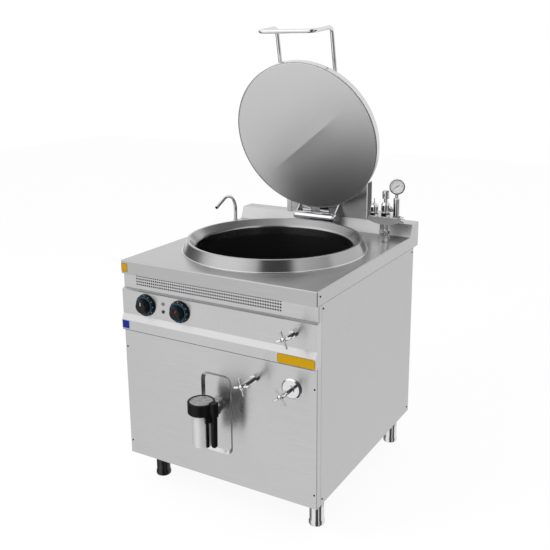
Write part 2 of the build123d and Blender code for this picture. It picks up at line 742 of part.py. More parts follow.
skirt_front = 11.0
cap_front = 33.0
for knob_name, x in knob_places.items():
    with BuildPart() as knob:
        turn([(0, -12), (spindle_r - 1, -12), (spindle_r - 1, 2.5), (6, 2.5), (6, 1),
              (knob_skirt_r - 1, 1), (knob_skirt_r, 2), (knob_skirt_r - 2, skirt_front - 2),
              (knob_skirt_r - 6, skirt_front), (knob_cap_r + 3, skirt_front),
              (knob_cap_r, skirt_front + 2), (knob_cap_r - 2, cap_front - 2),
              (knob_cap_r - 4, cap_front), (0, cap_front)], spot(x, 0, knob_z), (0, -1, 0))
    save(knob, f"{knob_name}_knob")

with BuildPart() as indicator_lamps:
    for z in lamp_zs:
        turn([(0, -20), (lamp_r - apart, -20), (lamp_r - apart, 0), (lamp_r + 1.5, 0),
              (lamp_r + 1.5, 1.5), (lamp_r - 1, 4), (0, 5)], spot(lamp_x, 0, z), (0, -1, 0))
save(indicator_lamps, "indicator_lamps")

with BuildPart() as electrical_box:
    block(-inner_half, -250, 70, 190, floor_z + sheet, floor_z + 130)
save(electrical_box, "electrical_box")

gland_x, gland_z = gland
cable_bore = 8.0
with BuildPart() as cable_gland:
    turn([(0, -18), (gland_r - apart, -18), (gland_r - apart, 0), (0, 0)],
         spot(gland_x, cabinet_depth, gland_z), (0, 1, 0))
    hexagon(spot(gland_x, cabinet_depth, gland_z), (0, 1, 0), 33, 8)
    hexagon(spot(gland_x, frame_back, gland_z), (0, -1, 0), 33, 5)
    turn([(0, 8), (14, 8), (14, 22), (11, 26), (0, 26)],
         spot(gland_x, cabinet_depth, gland_z), (0, 1, 0))
    turn([(0, -30), (cable_bore, -30), (cable_bore, 40), (0, 40)],
         spot(gland_x, cabinet_depth, gland_z), (0, 1, 0), mode=Mode.SUBTRACT)
save(cable_gland, "cable_gland")

screw_r = 3.6
screw_rise = 1.8
screw_inset = 10.0
high_screw = skin_top - 15
low_screw = body_bottom + 20
front_screws = [(x, z) for x in (screw_inset - half, half - screw_inset)
                for z in (lip_foot - 72.5, body_bottom + 51)]
side_screws = [(20.0, -20.0), (post_depth + 12, high_screw), (cabinet_depth - 14, high_screw),
               (post_depth + 12, low_screw), (cabinet_depth - 14, low_screw)]
with BuildPart() as panel_screws:
    head = [(0, 0), (screw_r, 0), (screw_r * 0.8, screw_rise * 0.7), (0, screw_rise)]
    for x, z in front_screws:
        turn(head, spot(x, front_set_back, z), (0, -1, 0))
    for side in (-1, 1):
        for back, z in side_screws:
            with BuildSketch(Plane(spot(side * half, back, z), z_dir=(side, 0, 0))) as section:
                Circle(screw_r)
            extrude(section.sketch, amount=screw_rise, taper=20)
save(panel_screws, "panel_screws")

# ================================ rear housing and lid hinge ================================
housing_left = -174.0
housing_right = 200.0
housing_front = 829.0
housing_rear = 882.0
housing_top = 203.0
strip = 22.0
strip_rise = 2.0
with BuildPart() as rear_housing:
    block(housing_left, housing_right, housing_front + strip_rise, housing_rear,
          upstand_rise, housing_top)
    under = rear_housing.faces().sort_by(Axis.Z)[0]
    offset(amount=-sheet, openings=under)
    for x0, x1 in ((housing_left, housing_left + strip), (housing_right - 14, housing_right)):
        block(x0, x1, housing_front, housing_front + strip_rise, upstand_rise, housing_top)
save(rear_housing, "rear_housing")

hinge_axis = spot(0, hinge_back, hinge_up)
ear = 6.0
ear_gap = 1.0
nut = 5.0
ear_r = 17.0
barrel_left = hinge_left + nut + ear + ear_gap
barrel_right = hinge_right - nut - ear - ear_gap
plate_back = housing_front + strip_rise
with BuildPart() as hinge_brackets:
    for x in (hinge_left + nut, hinge_right - nut - ear):
        profile_bar([(hinge_back, hinge_up - ear_r), (plate_back, upstand_rise + 4),
                     (plate_back, upstand_rise + 60), (hinge_back, hinge_up + ear_r)], x, x + ear)
        turn([(0, 0), (ear_r, 0), (ear_r, ear), (0, ear)], spot(x, hinge_back, hinge_up), (1, 0, 0))
    block(hinge_left + nut, hinge_right - nut, plate_back - 4, plate_back,
          upstand_rise + 4, upstand_rise + 60)
    turn([(0, -5), (shaft_r + running, -5), (shaft_r + running, width), (0, width)],
         spot(hinge_left, hinge_back, hinge_up), (1, 0, 0), mode=Mode.SUBTRACT)
save(hinge_brackets, "hinge_brackets")

with BuildPart() as hinge_shaft:
    span = hinge_right - hinge_left
    turn([(0, 0), (shaft_r, 0), (shaft_r, span), (0, span)],
         spot(hinge_left, hinge_back, hinge_up), (1, 0, 0))
    hexagon(spot(hinge_left, hinge_back, hinge_up), (1, 0, 0), 28, nut)
    hexagon(spot(hinge_right - nut, hinge_back, hinge_up), (1, 0, 0), 28, nut)
save(hinge_shaft, "hinge_shaft")

coil_wire = 1.4
coil_r = shaft_r + coil_wire + apart
bush = 8.0
with BuildPart() as counterbalance_spring:
    coil_start = barrel_left + bush + 3
    coil_length = barrel_right - barrel_left - 2 * (bush + 3)
    with BuildLine() as coil:
        Helix(pitch=9, height=coil_length, radius=coil_r,
              center=spot(coil_start, hinge_back, hinge_up), direction=(1, 0, 0))
    with BuildSketch(Plane(coil.line @ 0, z_dir=coil.line % 0)):
        Circle(coil_wire)
    sweep()
save(counterbalance_spring, "counterbalance_spring")


def save_open(builder, name):
    """Swing a piece drawn with the lid closed up to its open stop, then write it."""
    opened = builder.part.rotate(Axis(hinge_axis, (1, 0, 0)), -lid_open)
    opened.label = name
    export_step(opened, f"parts/{name}.step")


arm_width = 40.0
arm_thick = 8.0
arm_reach = 210.0
lid_top = lid_face + lid_thick
arm_inset = 24.0           # from each end of the barrel to its arm
barrel_length = barrel_right - barrel_left
with BuildPart() as lid_hinge_arms:
    barrel_end = spot(barrel_left, hinge_back, hinge_up)
    for x in (barrel_left + arm_inset, barrel_right - arm_inset - arm_width):
        block(x, x + arm_width, hinge_back - arm_reach, hinge_back, lid_top, lid_top + arm_thick)
    turn([(0, 0), (barrel_r, 0), (barrel_r, barrel_length), (0, barrel_length)],
         barrel_end, (1, 0, 0))
    turn([(0, 0), (shaft_r + running, 0), (shaft_r + running, bush), (barrel_bore, bush),
          (barrel_bore, barrel_length - bush), (shaft_r + running, barrel_length - bush),
          (shaft_r + running, barrel_length), (0, barrel_length)],
         barrel_end, (1, 0, 0), mode=Mode.SUBTRACT)
save_open(lid_hinge_arms, "lid_hinge_arms")

with BuildPart() as lid_cover:
    with BuildSketch(facing(0, kettle_back, 0)):
        with BuildLine():
            FilletPolyline((lid_r, lid_face), (lid_r, lid_top), (0, lid_top), radius=6)
            offset(amount=sheet, side=Side.LEFT)
        make_face()
    revolve(axis=Axis(kettle_axis, (0, 0, 1)))
save_open(lid_cover, "lid_cover")

with BuildPart() as lid_inner:
    turn([(lid_r - sheet, lid_face), (lid_r - sheet, lid_face + sheet),
          (0, lid_face + sheet - lid_belly), (0, lid_face - lid_belly)], kettle_axis)
save_open(lid_inner, "lid_inner")

handle_r = handle_d / 2
handle_bend = 25.0
handle_foot = kettle_back - 225.0
handle_places = [(handle_foot, lid_top), (handle_foot, 124.0), (kettle_back - 410, 137.0),
                 (-12.0, -3.0)]
with BuildPart() as lid_handle:
    left_side = [spot(-handle_half, *place) for place in handle_places]
    right_side = [spot(handle_half, *place) for place in reversed(handle_places)]
    tube(left_side + right_side, handle_r, handle_bend)
    for x in (-handle_half, handle_half):
        turn([(0, 0), (2 * handle_r, 0), (2 * handle_r, 2), (handle_r + 2, 5), (0, 5)],
             spot(x, handle_foot, lid_top))
save_open(lid_handle, "lid_handle")

# ================================ safety group ================================
lip_middle = 60.0
lip_end = 76.0
shelf_chamfer = 770.0
shelf_back = 842.0
plug_radius = 9.0
plug_reach = 14.0
with BuildPart() as safety_bracket:
    with BuildSketch(Plane(spot(0, 0, shelf_z - shelf_sheet))):
        with BuildLine():
            Polyline((shelf_left, shelf_front), (shelf_right, shelf_front),
                     (shelf_right, shelf_chamfer), (shelf_left + 25, shelf_back),
                     (housing_right, shelf_back), (housing_right, housing_front),
                     (shelf_left, housing_front), close=True)
        make_face()
    extrude(amount=shelf_sheet)
    with BuildSketch(facing(0, shelf_front, 0)):
        with BuildLine():
            Polyline((shelf_right, lip_end), (shelf_right, shelf_z), (shelf_left, shelf_z),
                     (shelf_left, lip_end))
            ThreePointArc((shelf_left, lip_end), ((shelf_left + shelf_right) / 2, lip_middle),
                          (shelf_right, lip_end))
        make_face()
    extrude(amount=-shelf_sheet)
    turn([(0, 0), (plug_radius, 0), (plug_radius, plug_reach), (0, plug_reach)],
         spot(shelf_right, shelf_front + plug_radius + 4, shelf_z - plug_radius), (1, 0, 0))
save(safety_bracket, "safety_bracket")

post_r = 8.0
post_end = 180.0
outlet_r = 6.5
outlet_reach = 24.0
with BuildPart() as safety_valve_body:
    base = spot(safety_x, group_back, shelf_z)
    hexagon(base, (0, 0, 1), 34, 16)
    turn([(0, 16), (15, 16), (18, 26), (18, 46), (13, 56), (post_r, 58),
          (post_r, post_end - shelf_z), (0, post_end - shelf_z)], base)
    outlet_z = shelf_z + 38
    tube([spot(safety_x, group_back, outlet_z), spot(safety_x + outlet_reach, group_back, outlet_z),
          spot(safety_x + outlet_reach, group_back, outlet_z - 18)], outlet_r, outlet_r + 1)
save(safety_valve_body, "safety_valve_body")

cap_foot = 162.0
cap_outer = 14.0
cap_top = 195.0
with BuildPart() as safety_valve_cap:
    turn([(post_r + running, cap_foot), (cap_outer, cap_foot), (cap_outer, cap_top - 3),
          (cap_outer - 3, cap_top), (0, cap_top), (0, post_end + apart),
          (post_r + running, post_end + apart)], spot(safety_x, group_back))
    for quarter in range(2):
        slot_plane = Plane(spot(safety_x, group_back, cap_foot + 14)).rotated((90, 0, 90 * quarter))
        with BuildSketch(slot_plane):
            SlotOverall(16, 3, rotation=90)
        extrude(amount=2 * cap_outer, both=True, mode=Mode.SUBTRACT)
save(safety_valve_cap, "safety_valve_cap")

pin_foot = 118.0
pin_end = 160.0
breaker_pin_r = 3.0
breaker_travel = 4.0
breaker_top = 50.0
with BuildPart() as vacuum_breaker_body:
    base = spot(breaker_x, group_back, shelf_z)
    hexagon(base, (0, 0, 1), 32, 12)
    turn([(0, 12), (14, 12), (18, 18), (18, 36), (14, 44), (7, breaker_top), (0, breaker_top)], base)
    turn([(0, pin_foot - breaker_travel - 1), (breaker_pin_r + running, pin_foot - breaker_travel - 1),
          (breaker_pin_r + running, pin_end), (0, pin_end)], spot(breaker_x, group_back),
         mode=Mode.SUBTRACT)
save(vacuum_breaker_body, "vacuum_breaker_body")

with BuildPart() as vacuum_breaker_pin:
    turn([(0, pin_foot), (breaker_pin_r, pin_foot), (breaker_pin_r, 146), (2, 148),
          (2, pin_end - 1), (1, pin_end), (0, pin_end)], spot(breaker_x, group_back))
save(vacuum_breaker_pin, "vacuum_breaker_pin")

gauge_depth = 28.0
outward = (sin(radians(gauge_turn)), -cos(radians(gauge_turn)), 0)
gauge_centre = Vector(*spot(gauge_x, group_back, gauge_z)) - Vector(*outward) * gauge_depth / 2
dial_at = 16.0
dial_r = 26.0
dial_thick = 1.5
glass_at = 23.0
glass_r = 27.5
glass_thick = 2.0
needle_axle = 1.2
with BuildPart() as gauge_stem:
    base = spot(gauge_x, group_back, shelf_z)
    hexagon(base, (0, 0, 1), 28, 7)
    turn([(0, 7), (13, 7), (13, 74), (10, 78), (7, 80), (7, 96), (0, 96)], base)
    turn([(0, -gauge_depth), (gauge_r, -gauge_depth), (gauge_r, gauge_depth), (0, gauge_depth)],
         spot(gauge_x, group_back, gauge_z), outward, mode=Mode.SUBTRACT)
save(gauge_stem, "gauge_stem")

with BuildPart() as gauge_case:
    turn([(0, 0), (gauge_r, 0), (gauge_r, gauge_depth), (glass_r + apart, gauge_depth),
          (glass_r + apart, glass_at), (dial_r + apart, glass_at), (dial_r + apart, dial_at),
          (dial_r - 1.5, dial_at), (dial_r - 1.5, 2), (0, 2)], gauge_centre, outward)
save(gauge_case, "gauge_case")

with BuildPart() as gauge_dial:
    turn([(needle_axle + running, dial_at), (dial_r, dial_at), (dial_r, dial_at + dial_thick),
          (needle_axle + running, dial_at + dial_thick)], gauge_centre, outward)
save(gauge_dial, "gauge_dial")

with BuildPart() as gauge_glass:
    turn([(0, glass_at), (glass_r, glass_at), (glass_r, glass_at + glass_thick),
          (0, glass_at + glass_thick)], gauge_centre, outward)
save(gauge_glass, "gauge_glass")

needle_way = 212.0
needle_length = 20.0
needle_tail = 11.0
hub_at = dial_at + dial_thick + apart
with BuildPart() as gauge_needle:
    turn([(0, dial_at - 6), (needle_axle, dial_at - 6), (needle_axle, hub_at), (3, hub_at),
          (3, hub_at + 1.6), (0, hub_at + 1.6)], gauge_centre, outward)
    level = Vector(cos(radians(gauge_turn)), sin(radians(gauge_turn)), 0)
    pointing = level * cos(radians(needle_way)) + Vector(0, 0, 1) * sin(radians(needle_way))
    with BuildSketch(Plane(gauge_centre + Vector(*outward) * hub_at, pointing, outward)):
        with BuildLine():
            Polyline((-needle_tail, -1.6), (-2, -1.6), (needle_length, -0.5),
                     (needle_length, 0.5), (-2, 1.6), (-needle_tail, 1.6), close=True)
        make_face()
    extrude(amount=1)
save(gauge_needle, "gauge_needle")
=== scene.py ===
import json
from math import cos, pi, radians, sin

import bpy
import numpy as np
from mathutils import Matrix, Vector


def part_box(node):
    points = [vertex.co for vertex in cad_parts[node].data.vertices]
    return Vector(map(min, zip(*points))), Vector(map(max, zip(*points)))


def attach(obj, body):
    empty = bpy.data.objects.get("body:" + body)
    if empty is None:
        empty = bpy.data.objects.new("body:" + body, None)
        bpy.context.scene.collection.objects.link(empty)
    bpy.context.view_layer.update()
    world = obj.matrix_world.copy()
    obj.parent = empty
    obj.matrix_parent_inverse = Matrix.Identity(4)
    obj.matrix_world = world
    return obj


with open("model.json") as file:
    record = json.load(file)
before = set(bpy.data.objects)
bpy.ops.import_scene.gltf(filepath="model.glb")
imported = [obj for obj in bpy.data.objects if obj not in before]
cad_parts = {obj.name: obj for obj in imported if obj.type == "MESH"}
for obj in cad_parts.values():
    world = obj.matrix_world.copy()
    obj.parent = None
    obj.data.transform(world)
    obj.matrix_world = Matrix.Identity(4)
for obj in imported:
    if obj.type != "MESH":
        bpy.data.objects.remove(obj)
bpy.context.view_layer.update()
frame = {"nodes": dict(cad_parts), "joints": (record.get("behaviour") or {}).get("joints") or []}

nodes = frame["nodes"]
mm = 0.001
kettleBack = 421  # the vessel's middle, back from the worktop's front edge
lampSplit = -153.5  # where the indicator lamps turn from clear to black


def jointNamed(name):
    return next(joint for joint in frame["joints"] if joint["name"] == name)


# places that everything else is measured from
worktopLow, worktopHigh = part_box("worktop")
lidJoint = jointNamed("lid_hinge")
lidAngle = radians(lidJoint["range_deg"][1])
lidHinge = np.array(lidJoint["pos_m"])


def place(x, back, up):  # millimetres across, back from the worktop's front edge, up from its top
    return np.array([x * mm, worktopLow.y + back * mm, worktopHigh.z + up * mm])


def swung(points):  # points of the closed lid, turned about the hinge to the open stop
    c, s = cos(lidAngle), -sin(lidAngle)
    turn = np.array([[1, 0, 0], [0, c, -s], [0, s, c]])
    return lidHinge + (np.asarray(points) - lidHinge) @ turn.T


class Wire:  # a socket that sums are written on
    def __init__(self, finish, socket):
        self.finish, self.socket = finish, socket

    def sum(self, operation, first, second):
        return self.finish.node("Math", {"operation": operation}, {0: first, 1: second})

    def __add__(self, other):
        return self.sum("ADD", self, other)

    def __radd__(self, other):
        return self.sum("ADD", other, self)

    def __sub__(self, other):
        return self.sum("SUBTRACT", self, other)

    def __rsub__(self, other):
        return self.sum("SUBTRACT", other, self)

    def __mul__(self, other):
        return self.sum("MULTIPLY", self, other)

    def __rmul__(self, other):
        return self.sum("MULTIPLY", other, self)


class Finish:  # a node tree that is being wired
    def __init__(self, tree):
        self.tree = tree
        tree.nodes.clear()

    def node(self, kind, settings=None, sockets=None, output=0):
        made = self.tree.nodes.new("ShaderNode" + kind)
        for name, value in (settings or {}).items():
            if name == "stops":
                for at, colour in value:
                    stop = made.color_ramp.elements.new(at)
                    stop.color = (*colour, 1)
                made.color_ramp.elements.remove(made.color_ramp.elements[0])
                made.color_ramp.elements.remove(made.color_ramp.elements[-1])
            else:
                setattr(made, name, value)
        for name, value in (sockets or {}).items():
            if isinstance(value, Wire):
                self.tree.links.new(value.socket, made.inputs[name])
            else:
                made.inputs[name].default_value = value
        return Wire(self, made.outputs[output]) if len(made.outputs) else None

    def where(self):
        return self.node("TexCoord", output="Object")

    def noise(self, vector, scale, detail=2.0, rough=0.5):
        stretched = self.node("Mapping", sockets={"Vector": vector, "Scale": scale})
        return self.node("TexNoise", sockets={"Vector": stretched, "Scale": 1.0, "Detail": detail,
                                              "Roughness": rough})

    def rise(self, value, low, high):  # 0 below low, 1 above high, smooth between
        return self.node("MapRange", {"interpolation_type": "SMOOTHSTEP"},
                         {"Value": value, "From Min": low, "From Max": high})

    def blend(self, factor, first, second):
        mix = {"data_type": "RGBA"}
        return self.node("Mix", mix, {"Factor": factor, 6: colour4(first), 7: colour4(second)}, 2)

    def bump(self, height, distance, strength=1.0):
        return self.node("Bump", sockets={"Height": height, "Distance": distance,
                                          "Strength": strength})

    def shade(self, **sockets):
        named = {name.replace("_", " "): value for name, value in sockets.items()}
        shader = self.node("BsdfPrincipled", sockets=named)
        self.node("OutputMaterial", sockets={"Surface": shader})


def colour4(colour):
    return colour if isinstance(colour, Wire) else (*colour, 1)


def material(name):
    made = bpy.data.materials.new(name)
    made.use_nodes = True
    return made, Finish(made.node_tree)


def grey(level):
    return (level, level, level)


def squircle(steps, power):  # a rounded square's outline, as across and up from -1 to 1
    turn = np.linspace(0, 2 * pi, steps, endpoint=False)
    return (np.sign(np.cos(turn)) * np.abs(np.cos(turn)) ** power,
            np.sign(np.sin(turn)) * np.abs(np.sin(turn)) ** power)


sheetLook = {"tone": 0.535, "drift": 0.05, "roughness": 0.27, "grain": 0.00002, "pitch": 900.0,
             "smear": 0.85}
print("finishes")


def brushedSheet(name, along, look=sheetLook):
    # fine straight scratches that run along one axis, over a slow drift of tone
    made, finish = material(name)
    spot = finish.where()
    fine = [look["pitch"]] * 3
    fine[along] = look["pitch"] / 120
    scratches = finish.noise(spot, tuple(fine), 2.0, 0.6)
    cloud = finish.noise(spot, (3.0,) * 3, 3.0, 0.6)
    level = look["tone"] + (scratches - 0.5) * 0.10 + (cloud - 0.5) * look["drift"]
    colour = finish.node("CombineColor", sockets={0: level, 1: level, 2: level * 1.01})
    rough = look["roughness"] + (cloud - 0.5) * 0.06
    turned = 0.25 if along == 0 else 0.0  # reflections smear across the scratches
    finish.shade(Base_Color=colour, Metallic=1.0, Roughness=rough, Anisotropic=look["smear"],
                 Anisotropic_Rotation=turned, Normal=finish.bump(scratches, look["grain"]))
    return made


spunLook = {"tone": 0.40, "roughness": 0.22, "grain": 0.00003, "pitch": 1100.0, "smear": 0.6}


def spunSheet(name, centre, look=spunLook):
    # scratches in rings round a centre, as a lathe leaves them
    made, finish = material(name)
    spot = finish.where()
    reach = finish.node("VectorMath", {"operation": "DISTANCE"}, {0: spot, 1: tuple(centre)},
                        "Value")
    rings = finish.node("TexNoise", {"noise_dimensions": "1D"},
                        {"W": reach * look["pitch"], "Scale": 1.0, "Detail": 2.0})
    cloud = finish.noise(spot, (5.0,) * 3, 3.0, 0.6)
    level = look["tone"] + (rings - 0.5) * 0.10 + (cloud - 0.5) * 0.03
    colour = finish.node("CombineColor", sockets={0: level, 1: level, 2: level * 1.01})
    finish.shade(Base_Color=colour, Metallic=1.0, Roughness=look["roughness"],
                 Anisotropic=look["smear"], Anisotropic_Rotation=0.25,
                 Normal=finish.bump(rings, look["grain"]))
    return made


def plated(name, tone=0.72, roughness=0.07, metal=1.0):
    made, finish = material(name)
    spot = finish.where()
    smear = finish.noise(spot, (40.0,) * 3, 3.0, 0.6)
    level = tone + (smear - 0.5) * 0.06
    colour = finish.node("CombineColor", sockets={0: level, 1: level, 2: level * 1.015})
    finish.shade(Base_Color=colour, Metallic=metal, Roughness=roughness + smear * 0.05,
                 Normal=finish.bump(smear, 0.0001, 0.4))
    return made


def moulded(name, colour, roughness=0.35, pimple=0.00006, gloss=0.2):
    # plastic with a fine cast texture
    made, finish = material(name)
    spot = finish.where()
    texture = finish.noise(spot, (1400.0,) * 3, 2.0)
    wear = finish.noise(spot, (25.0,) * 3, 3.0)
    tone = finish.blend(wear, colour, tuple(min(1, c * 1.35 + 0.004) for c in colour))
    finish.shade(Base_Color=tone, Roughness=roughness + (wear - 0.5) * 0.12,
                 Specular_IOR_Level=gloss, Normal=finish.bump(texture, pimple))
    return made


def castDisc(name):
    # light grey casting with swirls of wear
    made, finish = material(name)
    spot = finish.where()
    swirl = finish.noise(spot, (90.0,) * 3, 5.0, 0.7)
    tone = finish.node("ValToRGB", {"stops": [(0.3, grey(0.22)), (0.5, grey(0.50)),
                                              (0.7, grey(0.72))]}, {"Fac": swirl})
    finish.shade(Base_Color=tone, Metallic=0.6, Roughness=0.30 + swirl * 0.25,
                 Normal=finish.bump(swirl, 0.0006))
    return made


def soot(name, tone):
    # the vessel's wall: steel painted dark as shade inside the deep vessel, with a faint tide line
    made, finish = material(name)
    spot = finish.where()
    height = finish.node("SeparateXYZ", sockets={0: spot}, output=2)
    stain = finish.noise(spot, (9.0, 9.0, 30.0), 4.0, 0.6)
    line = finish.rise(height + stain * 0.02, 0.66, 0.665) * (1 - finish.rise(height, 0.69, 0.72))
    level = tone + line * 0.02 + stain * 0.01
    colour = finish.node("CombineColor", sockets={0: level, 1: level, 2: level})
    finish.shade(Base_Color=colour, Metallic=0.9, Roughness=0.42 + stain * 0.1,
                 Normal=finish.bump(stain, 0.0004))
    return made


def wool(name, colour):
    made, finish = material(name)
    spot = finish.where()
    fibre = finish.noise(spot, (220.0, 220.0, 60.0), 5.0, 0.7)
    tone = finish.blend(fibre, colour, tuple(c * 0.7 for c in colour))
    finish.shade(Base_Color=tone, Roughness=0.95, Normal=finish.bump(fibre, 0.002))
    return made


def lampLens(name, split):
    # clear grey above, black below
    made, finish = material(name)
    spot = finish.where()
    height = finish.node("SeparateXYZ", sockets={0: spot}, output=2)
    facets = finish.noise(spot, (500.0,) * 3, 1.0)
    upper = finish.rise(height, split - 0.001, split + 0.001)
    tone = finish.blend(upper, (0.02, 0.016, 0.014), (0.24, 0.20, 0.17))
    finish.shade(Base_Color=tone, Roughness=0.12 + facets * 0.08, Coat_Weight=0.6,
                 Normal=finish.bump(facets, 0.0001))
    return made


def clearPane(name):
    made, finish = material(name)
    spot = finish.where()
    dust = finish.noise(spot, (300.0,) * 3, 3.0)
    finish.shade(Base_Color=(0.95, 0.96, 0.97, 1), Alpha=0.16 + dust * 0.05,
                 Roughness=0.04 + dust * 0.03, Specular_IOR_Level=0.6)
    return made


def paper(name, colour, edge, box, border=0.0015):
    # a plain label: one colour inside a thin darker border; box is (low x, low z, high x, high z)
    made, finish = material(name)
    spot = finish.where()
    parts = [finish.node("SeparateXYZ", sockets={0: spot}, output=i) for i in (0, 2)]
    inside = finish.rise(parts[0], box[0] + border, box[0] + border * 1.2)
    inside = inside * finish.rise(parts[1], box[1] + border, box[1] + border * 1.2)
    inside = inside * (1 - finish.rise(parts[0], box[2] - border * 1.2, box[2] - border))
    inside = inside * (1 - finish.rise(parts[1], box[3] - border * 1.2, box[3] - border))
    grain = finish.noise(spot, (400.0,) * 3, 3.0)
    face = finish.blend(grain, colour, tuple(c * 0.93 for c in colour))
    finish.shade(Base_Color=finish.blend(inside, edge, face), Roughness=0.32 + grain * 0.1,
                 Specular_IOR_Level=0.12)
    return made


topLook = {"tone": 0.47, "drift": 0.06, "roughness": 0.26, "grain": 0.00002, "pitch": 900.0,
           "smear": 0.0}
lidLook = {"tone": 0.70, "roughness": 0.45, "grain": 0.00006, "pitch": 700.0, "smear": 0.0}
collarCentre = place(0, kettleBack, 0)
lidFaceCentre = swung([place(0, kettleBack, 25)])[0]
finishes = {
    "acrossSheet": brushedSheet("steel brushed across", 0),
    "upSheet": brushedSheet("steel brushed upwards", 2),
    "sideSheet": brushedSheet("side steel", 2),
    "topSheet": brushedSheet("worktop steel", 0, topLook),
    "collar": spunSheet("collar steel", collarCentre),
    "lidFace": spunSheet("lid steel", lidFaceCentre, lidLook),
    "upstand": brushedSheet("upstand steel", 0, {**sheetLook, "roughness": 0.42, "smear": 0.4}),
    "lidRim": plated("lid rim steel", 0.66, 0.16),
    # the tone 0.035 is painted shade: the steel inside the vessel is painted near black
    "vessel": soot("vessel steel painted dark", 0.035),
    "plated": plated("bright plating"),
    "satin": plated("satin steel", 0.62, 0.22),
    # dark steel: the screws' own colour, and painted shade on the front-left foot
    "darkSteelAndShade": plated("dark steel and painted shade", 0.05, 0.30),
    # plain black: painted shade on the lip strip, and the dark right side of the housing
    "blackSheet": moulded("plain black sheet", (0.006, 0.006, 0.007), 0.32, gloss=0.3),
    "spout": plated("pale satin spout", 0.74, 0.42, 0.35),
    "black": moulded("black plastic", (0.0025, 0.0025, 0.003), 0.30, gloss=0.14),
    "blackKnob": moulded("knob plastic", (0.004, 0.004, 0.005), 0.28, gloss=0.2),
    "disc": castDisc("cast disc"),
    "wool": wool("lagging wool", (0.62, 0.57, 0.45)),
    "lens": lampLens("lamp lens", place(0, 0, lampSplit)[2]),
    "pane": clearPane("gauge pane"),
    "dial": moulded("dial white", (0.80, 0.80, 0.78), 0.5, 0.00001),
    "ink": moulded("ink black", (0.012, 0.012, 0.012), 0.5, 0.00001),
    "blueInk": moulded("ink blue", (0.008, 0.085, 0.16), 0.4, 0.00001),
    "whiteInk": moulded("ink white", (0.75, 0.78, 0.80), 0.5, 0.00001),
    "redInk": moulded("ink orange", (0.35, 0.05, 0.02), 0.5, 0.00001),
}
wearing = {
    "upstand": "rear_upstand",
    "acrossSheet": "front_panel control_panel vent_grille safety_bracket "
                   "back_panel bottom_panel base_frame rear_housing",
    "upSheet": "corner_posts", "sideSheet": "side_panels", "topSheet": "worktop",
    "collar": "kettle_collar", "lidRim": "lid_cover", "lidFace": "lid_inner",
    "vessel": "inner_vessel",
    "satin": "jacket_shell heating_elements drain_pipe water_pipes inlet_union hinge_brackets "
             "counterbalance_spring",
    "plated": "tap_body valve_bodies fill_cross_handle level_cross_handle jacket_cross_handle "
              "lid_handle lid_hinge_arms hinge_shaft spout_socket swivel_spout riser_pipes "
              "safety_valve_body safety_valve_cap vacuum_breaker_body vacuum_breaker_pin "
              "gauge_stem gauge_case foot_rear_left foot_front_right foot_rear_right",
    # foot_front_left wears the dark steel as painted shade; the other three feet, which are alike,
    # are plated
    "spout": "tap_spout", "disc": "tap_plug", "darkSteelAndShade": "panel_screws foot_front_left",
    "black": "tap_collar tap_lever tap_catch control_bodies electrical_box cable_gland",
    "blackKnob": "thermostat_knob selector_knob", "wool": "insulation_blanket",
    "lens": "indicator_lamps", "pane": "gauge_glass", "dial": "gauge_dial", "ink": "gauge_needle",
}
for finishName, wearers in wearing.items():
    for node in wearers.split():
        nodes[node].material_slots[0].material = finishes[finishName]


def surface(name, grid, finish, body, loopU=False, loopV=False, smooth=True):
    # a grid of points [u][v] becomes quads that face along u x v; loopU and loopV close it
    # round that way
    rows, columns = grid.shape[:2]
    index = np.arange(rows * columns).reshape(rows, columns)
    if loopU:
        index = np.vstack([index, index[:1]])
    if loopV:
        index = np.hstack([index, index[:, :1]])
    quads = np.stack([index[:-1, :-1], index[1:, :-1], index[1:, 1:], index[:-1, 1:]], -1)
    mesh = bpy.data.meshes.new(name)
    mesh.from_pydata(grid.reshape(-1, 3).tolist(), [], quads.reshape(-1, 4).tolist())
    mesh.polygons.foreach_set("use_smooth", [smooth] * len(mesh.polygons))
    mesh.materials.append(finish)
    piece = bpy.data.objects.new(name, mesh)
    bpy.context.scene.collection.objects.link(piece)
    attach(piece, body)
    return piece


def frameOf(axis):  # two directions square to an axis
    axis = np.array(axis, float) / np.linalg.norm(axis)
    first = np.cross(axis, (0, 0, 1) if abs(axis[2]) < 0.9 else (1, 0, 0))
    first /= np.linalg.norm(first)
    return first, np.cross(axis, first), axis


def spun(centre, axis, profile, steps=96):
    # point = centre + height along axis + radius (cos a, sin a), for each (radius, height)
    first, second, axis = frameOf(axis)
    angle = np.linspace(0, 2 * pi, steps, endpoint=False)[None, :, None]
    radius = np.array(profile, float)[:, 0][:, None, None] * mm
    height = np.array(profile, float)[:, 1][:, None, None] * mm
    return centre + height * axis + radius * (np.cos(angle) * first + np.sin(angle) * second)


def hoop(centre, axis, ring, wire, steps=96, around=12):
    # a torus: the ring's circle carries a small circle of the wire's radius
    turn = -np.linspace(0, 2 * pi, around, endpoint=False)
    return spun(centre, axis, [(ring + wire * cos(t), wire * sin(t)) for t in turn], steps)


def bar(start, end, across, width, thick):
    # a flat bar from start to end: a rounded box profile carried along a straight line
    start, end = np.asarray(start), np.asarray(end)
    along = end - start
    across = np.asarray(across, float)
    up = np.cross(along, across)
    up /= np.linalg.norm(up)
    turn = -np.linspace(0, 2 * pi, 16, endpoint=False)
    side = np.sign(np.cos(turn)) * np.abs(np.cos(turn)) ** 0.35 * width / 2 * mm
    rise = np.sign(np.sin(turn)) * np.abs(np.sin(turn)) ** 0.35 * thick / 2 * mm
    ends = np.array([0, 0, 0.02, 0.98, 1, 1])
    share = np.array([0, 0.8, 1, 1, 0.8, 0])
    return (start + ends[:, None, None] * along + share[:, None, None]
            * (side[None, :, None] * across + rise[None, :, None] * up))


